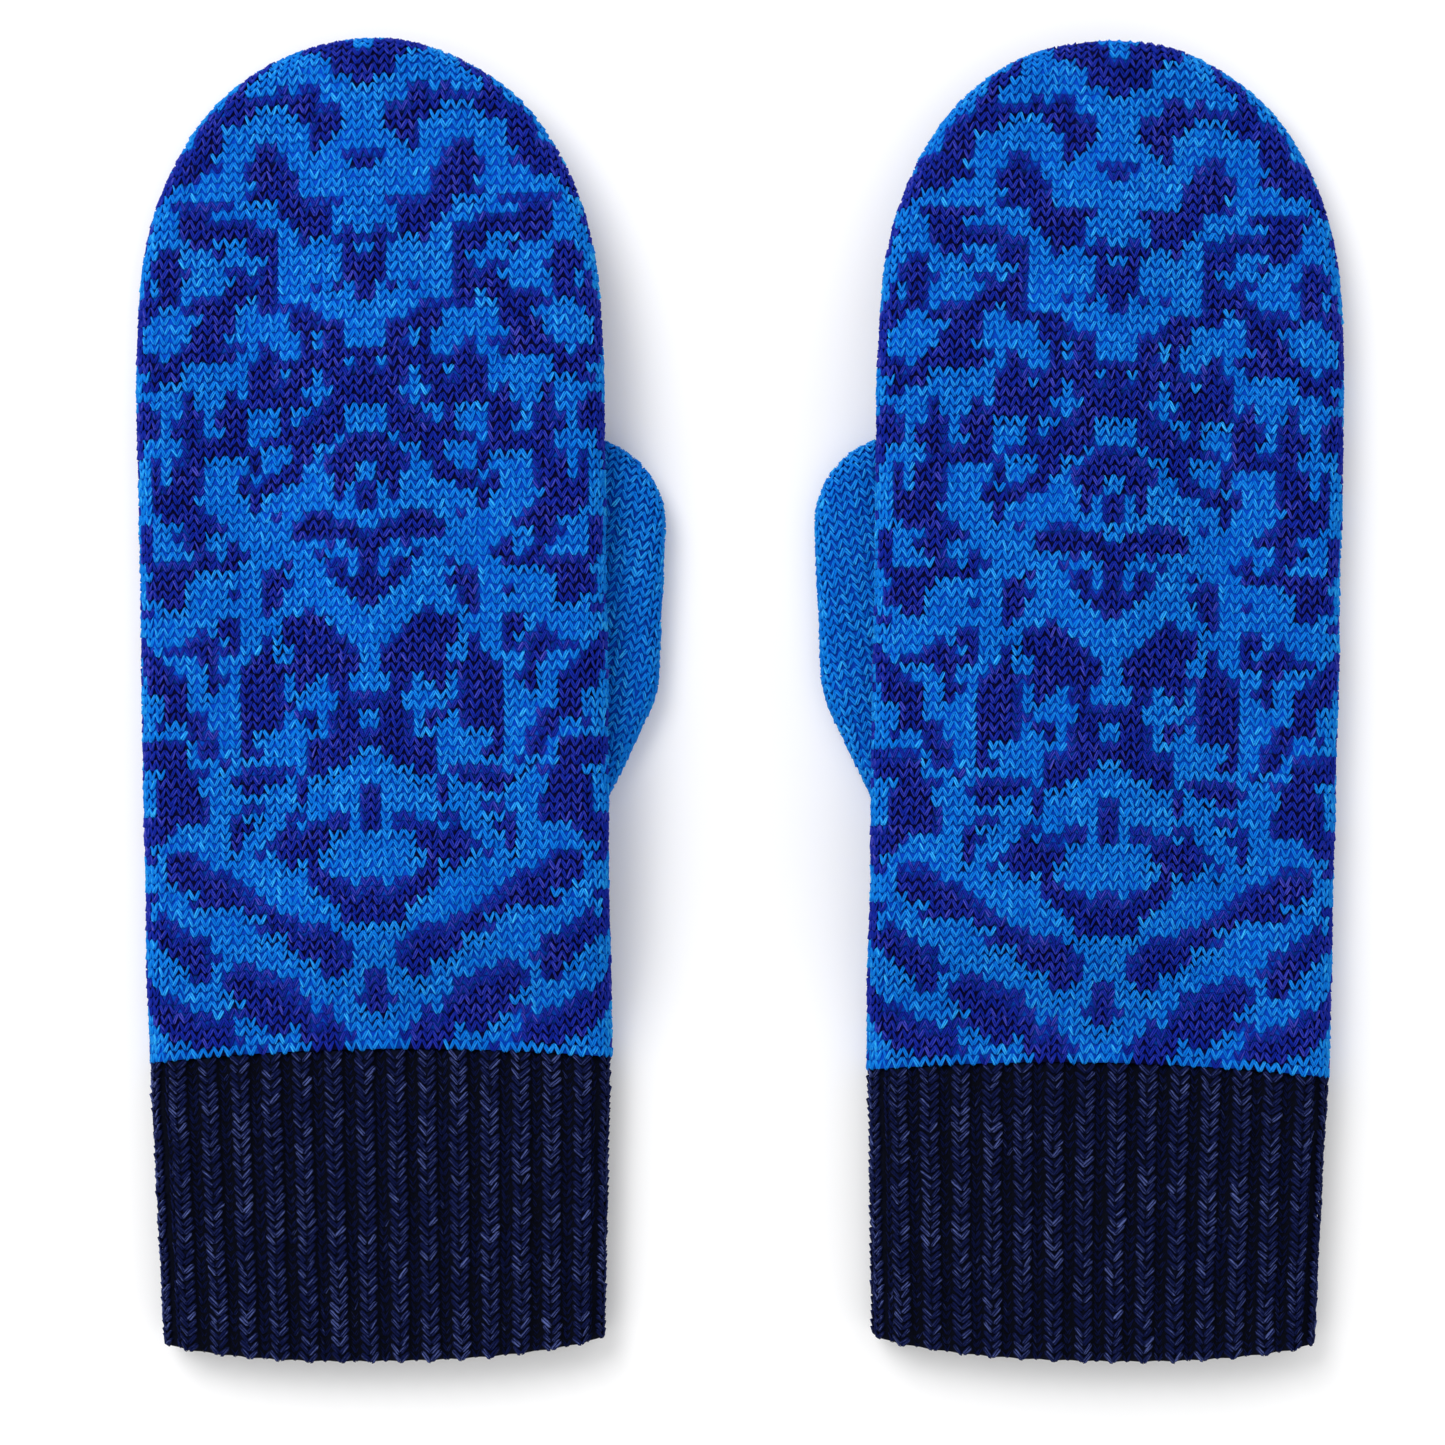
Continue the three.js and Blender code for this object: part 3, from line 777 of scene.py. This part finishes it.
# The backings are coloured darker than their yarns, as painted shade in the gaps between the
# stitches.
hand_backing = backing_finish("hand_backing", linear(0, 0, 46), linear(0, 70, 186))
navy_backing = backing_finish("navy_backing", linear(0, 2, 14), linear(4, 8, 28))
thumb_backing = backing_finish("thumb_backing", linear(0, 50, 150), linear(0, 66, 180))
seam_strand = seam_finish("seam_strand", LIGHT_PAINTED_SHADE, LIGHT_BODY)


def hand_pattern(face):
    """Which of the hand's stitches are bright, on the back (face 1) or the palm (face -1)."""
    return mirrored_pattern(HAND_ROWS, HAND_COLUMNS, BACK_SEED if face > 0 else PALM_SEED)


def row_height(m, row, x):
    """Height of a course: it follows the bow of the wrist seam, and is straight higher up."""
    bow = (m.wrist_seam(x) - m.cuff) * np.clip(1 - row / BOW_ROWS, 0, 1)
    return m.cuff + bow + row * HAND_COURSE


def hand_knit(m, face):
    """The bright and the indigo stitches of one side of the hand.

    They stand in straight columns and in rows that start on the wrist seam, with a ripple added
    to each place and to the height.
    """
    side = "back" if face > 0 else "palm"
    pattern = hand_pattern(face)
    row, column = rows_and_columns(HAND_ROWS, HAND_COLUMNS)
    a = column * HAND_WALE
    a = a + ripple(a, row * HAND_COURSE, *HAND_ASIDE)
    b = row_height(m, row + FIRST_ROW, face * a) + ripple(a, row * HAND_COURSE, *HAND_ONWARD)
    inside = m.from_outline(face * a, b)[0] + EDGE_SLACK * HAND_RADIUS
    keep = inside > (-BACK_PAST_EDGE if face > 0 else SHORT_OF_EDGE)
    if face < 0:
        keep &= m.from_hole(face * a, b) > HOLE_RADIUS + CLEAR_OF_HOLE
    depth = ripple(a, b, *HAND_DEPTH) - (0 if face > 0 else PALM_SINK)
    yarns = (("bright", pattern, bright_yarn), ("indigo", ~pattern, indigo_yarn))
    return [
        stitches(
            f"{m.name}_{side}_{colour}_stitches",
            HAND_SEED + face,
            lambda u, v, h: m.hand(face, u, v, h),
            a,
            b,
            keep & mask,
            HAND_WALE,
            HAND_COURSE,
            depth,
            material,
        )
        for colour, mask, material in yarns
    ]


def hand_backing_layer(m, face):
    """The closed base layer of one side of the hand, with the thumb's hole in the palm.

    Its grid runs along the flattened outline in even steps, and across from edge to edge. Points
    inside the hole are moved out to its rim, and the faces there are left out.
    """
    side = "back" if face > 0 else "palm"
    turned = np.linspace(0, math.pi / 2 - 0.03, 60)
    rounded = np.sin(turned) ** (2 / TIP_SQUARENESS)
    x = np.concatenate([np.full(44, HAND_WIDTH / 2), HAND_WIDTH / 2 * np.cos(turned)])
    y = np.concatenate([np.linspace(m.cuff, SHOULDER, 44), SHOULDER + TIP_LENGTH * rounded])
    run = np.concatenate([[0], np.cumsum(np.hypot(np.diff(x), np.diff(y)))])
    steps = np.linspace(0, run[-1], 92)
    x, y = np.interp(steps, run, x), np.interp(steps, run, y)
    _, in_x, in_y = m.from_outline(x, y)
    x, y = x - in_x * EDGE_SLACK * HAND_RADIUS, y - in_y * EDGE_SLACK * HAND_RADIUS
    u = np.linspace(-1, 1, 45)
    across = (u + np.sin(u * math.pi / 2)) / 2
    a = across[None] * x[:, None]
    b = y[:, None] + 0 * a
    wrist_bow = m.wrist_seam(face * a) - m.cuff + WRIST_GAP
    b = b + wrist_bow * np.clip(1 - (b - m.cuff) / (BOW_ROWS * HAND_COURSE), 0, 1)
    a, b = a.ravel(), b.ravel()
    faces = grid_faces(len(x), len(u))
    if face < 0:
        middle = m.from_hole(face * a[faces].mean(1), b[faces].mean(1))
        faces = faces[middle > HOLE_RADIUS]
        gap = m.from_hole(face * a, b)
        rim = gap < HOLE_RADIUS
        stretch = np.where(rim, HOLE_RADIUS / np.maximum(gap, 1e-6), 1)
        a = face * (m.thumb_x + (face * a - m.thumb_x) * stretch)
        b = THUMB_RISE + (b - THUMB_RISE) * stretch
    outer = m.hand(face, a, b, -BASE_DEPTH)
    inner = m.hand(face, a, b, -HAND_WALL)
    points, triangles, source = walled(outer, inner, faces)
    row = np.clip(np.round((b - m.cuff) / HAND_COURSE), 0, HAND_ROWS - 1).astype(int)
    column = np.round(a / HAND_WALE + (HAND_COLUMNS - 1) / 2)
    column = np.clip(column, 0, HAND_COLUMNS - 1).astype(int)
    tone = hand_pattern(face)[row, column][source]
    return piece(
        f"{m.name}_{side}_layer",
        points,
        triangles,
        hand_backing,
        tone,
    )


def thumb_outline(side, extra, count):
    """Even steps round the thumb's outline, moved out by extra."""
    out, _, touched = thumb_touching_lines(side)
    line = touched + extra * out
    line = np.concatenate([line, line[:1]])
    run = np.concatenate([[0], np.cumsum(np.hypot(*np.diff(line, axis=0).T))])
    steps = np.linspace(0, run[-1], count, endpoint=False)
    return np.interp(steps, run, line[:, 0]), np.interp(steps, run, line[:, 1])


def thumb_backing_layer(m, face):
    """The closed base layer of the thumb's top or bottom, in rings out to its outline.

    The top's innermost ring is the mouth. The bottom's is a small ring in its middle.
    """
    count = 84
    u, v = thumb_outline(m.side, EDGE_SLACK * THUMB_RADIUS, count)
    share = np.linspace(0, 1, 20)[:, None]
    heading = np.arctan2(v, u)
    radius, middle = (MOUTH_RADIUS, 0.0) if face > 0 else (0.4, THUMB_REACH / 2)
    if face < 0:
        heading = np.arctan2(v - middle, u)
    start_u, start_v = radius * np.cos(heading), middle + radius * np.sin(heading)
    a = (start_u + (u - start_u) * share) * face
    b = start_v + (v - start_v) * share
    faces = grid_faces(20, count, round_about=True)
    faces = faces[:, ::-1] if face > 0 else faces
    outer = m.thumb(face, a.ravel(), b.ravel(), -BASE_DEPTH)
    inner = m.thumb(face, a.ravel(), b.ravel(), -THUMB_WALL)
    points, triangles, _ = walled(outer, inner, faces)
    side = "top" if face > 0 else "bottom"
    return piece(
        f"{m.name}_thumb_{side}_layer",
        points,
        triangles,
        thumb_backing,
        np.full(len(points), 0.5),
    )


def thumb_knit(m, face):
    """Stitches in columns along the thumb, out to its outline and clear of its mouth."""
    side = "top" if face > 0 else "bottom"
    row, column = rows_and_columns(THUMB_ROWS, THUMB_COLUMNS)
    a = column * THUMB_WALE + ripple(column * THUMB_WALE, row * THUMB_COURSE, *THUMB_ASIDE)
    b = (row + 0.5) * THUMB_COURSE - THUMB_BASE_RADIUS - THUMB_BELOW_BASE
    inside = from_thumb_outline(m.side, face * a, b)[0] + EDGE_SLACK * THUMB_RADIUS
    keep = inside > (-THUMB_PAST_EDGE if face > 0 else SHORT_OF_EDGE)
    if face > 0:
        keep &= np.hypot(a, b) > MOUTH_RADIUS + CLEAR_OF_HOLE
    return stitches(
        f"{m.name}_thumb_{side}_stitches",
        THUMB_SEED + face,
        lambda u, v, h: m.thumb(face, u, v, h),
        a,
        b,
        keep,
        THUMB_WALE,
        THUMB_COURSE,
        ripple(a, b, *THUMB_DEPTH),
        bright_yarn,
    )


def rib_wave(a):
    """0 on the crest of a rib and 1 in the valley between two."""
    return 0.5 - 0.5 * np.cos(2 * math.pi * RIBS * a / CUFF_ROUND)


def cuff_knit(m, crest):
    """One column of stitches on each rib's crest, or in each valley."""
    rows = int(m.cuff / CUFF_COURSE)
    row, rib = np.meshgrid(np.arange(rows), np.arange(RIBS) + (0 if crest else 0.5), indexing="ij")
    a = rib * CUFF_ROUND / RIBS
    a = a + ripple(a, row * CUFF_COURSE, *CUFF_ASIDE)
    b = (row + 0.5) * m.cuff / rows
    return stitches(
        f"{m.name}_cuff_{'crest' if crest else 'valley'}_stitches",
        CUFF_SEED + int(crest),
        m.cuff_tube,
        a,
        b,
        True,
        CREST_WALE if crest else VALLEY_WALE,
        CUFF_COURSE,
        (0.0 if crest else -RIB_DEPTH) + ripple(a, b, *CUFF_DEPTH),
        navy_yarn,
        CUFF_LEG_REACH,
        0.0 if crest else VALLEY_PAINTED_SHADE,
    )


def cuff_backing_layer(m):
    """The closed ribbed tube behind the cuff's stitches, with painted shade in the valleys of its
    ribs.
    """
    rows, columns = 40, RIBS * 6
    b, a = np.meshgrid(
        np.linspace(0, m.cuff, rows), np.arange(columns) * CUFF_ROUND / columns, indexing="ij"
    )
    a, b = a.ravel(), b.ravel()
    outer = m.cuff_tube(a, b, -BASE_DEPTH - RIB_DEPTH * 0.8 * rib_wave(a))
    inner = m.cuff_tube(a, b, -CUFF_WALL - RIB_BACKING + 0 * a)
    points, triangles, source = walled(outer, inner, grid_faces(rows, columns, round_about=True))
    # Its tone is 1 on the crests and 0 in the valleys, so the valleys get painted shade.
    return piece(
        m.name + "_cuff_layer",
        points,
        triangles,
        navy_backing,
        (1 - rib_wave(a))[source],
    )


def build(name):
    """Makes one mitten's pieces, says what the hand's and thumb's pieces ride on, hides the parts
    they all replace, and finishes its seams.
    """
    m = Mitten(name)
    hand, thumb, cuff = (name + part for part in ("_hand", "_thumb", "_cuff"))
    for face, node in ((1, name + "_hand_back"), (-1, name + "_hand_palm")):
        for made in (hand_backing_layer(m, face), *hand_knit(m, face)):
            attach(made, hand)
            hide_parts(node)
    for face in (1, -1):
        for made in (thumb_backing_layer(m, face), thumb_knit(m, face)):
            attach(made, thumb)
            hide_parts(name + "_thumb")
    seam = m.cuff + SEAM_BOW
    start, end = (m.placed(0.0, seam - down, HAND_RADIUS).tolist() for down in WRIST_BEND)
    for made in (cuff_backing_layer(m), cuff_knit(m, True), cuff_knit(m, False)):
        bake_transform(made)
        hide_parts(name + "_cuff")
    for node in ("_side_seam", "_thumb_seam", "_cuff_seam"):
        seam_object = frame["nodes"][name + node]
        seam_object.data.materials.clear()
        seam_object.data.materials.append(seam_strand)


for mitten_name in ("left", "right"):
    build(mitten_name)

# ---------------------------------------------------------------- floor, light and camera

floor_points = np.array([[-3, -3, -0.0002], [3, -3, -0.0002], [3, 3, -0.0002], [-3, 3, -0.0002]])
floor_halves = np.array([[0, 1, 2], [0, 2, 3]])
floor = piece("floor", floor_points, floor_halves, floor_finish("floor_paper"))

world = bpy.data.worlds.new("studio")
world.use_nodes = True
world.node_tree.nodes["Background"].inputs["Color"].default_value = (1, 1, 1, 1)
world.node_tree.nodes["Background"].inputs["Strength"].default_value = 0.90
bpy.context.scene.world = world


def soft_light(name, place, size, power):
    """A square lamp that faces the middle of the pair."""
    lamp = bpy.data.lights.new(name, "AREA")
    lamp.size = size
    lamp.energy = power
    made = bpy.data.objects.new(name, lamp)
    made.location = place
    x, y, z = place
    made.rotation_euler = (math.atan2(math.hypot(x, y), z), 0, math.atan2(y, x) + math.pi / 2)
    bpy.context.scene.collection.objects.link(made)


soft_light("key", (-0.6, 0.7, 1.2), 0.8, 11)

camera = bpy.data.cameras.new("camera")
camera.lens = 100
camera.sensor_width = 36
camera.clip_end = 10
camera_object = bpy.data.objects.new("camera", camera)
camera_object.location = (-0.0038, -0.0048, 0.861)
bpy.context.scene.collection.objects.link(camera_object)
bpy.context.scene.camera = camera_object
bpy.context.scene.view_settings.view_transform = "Standard"
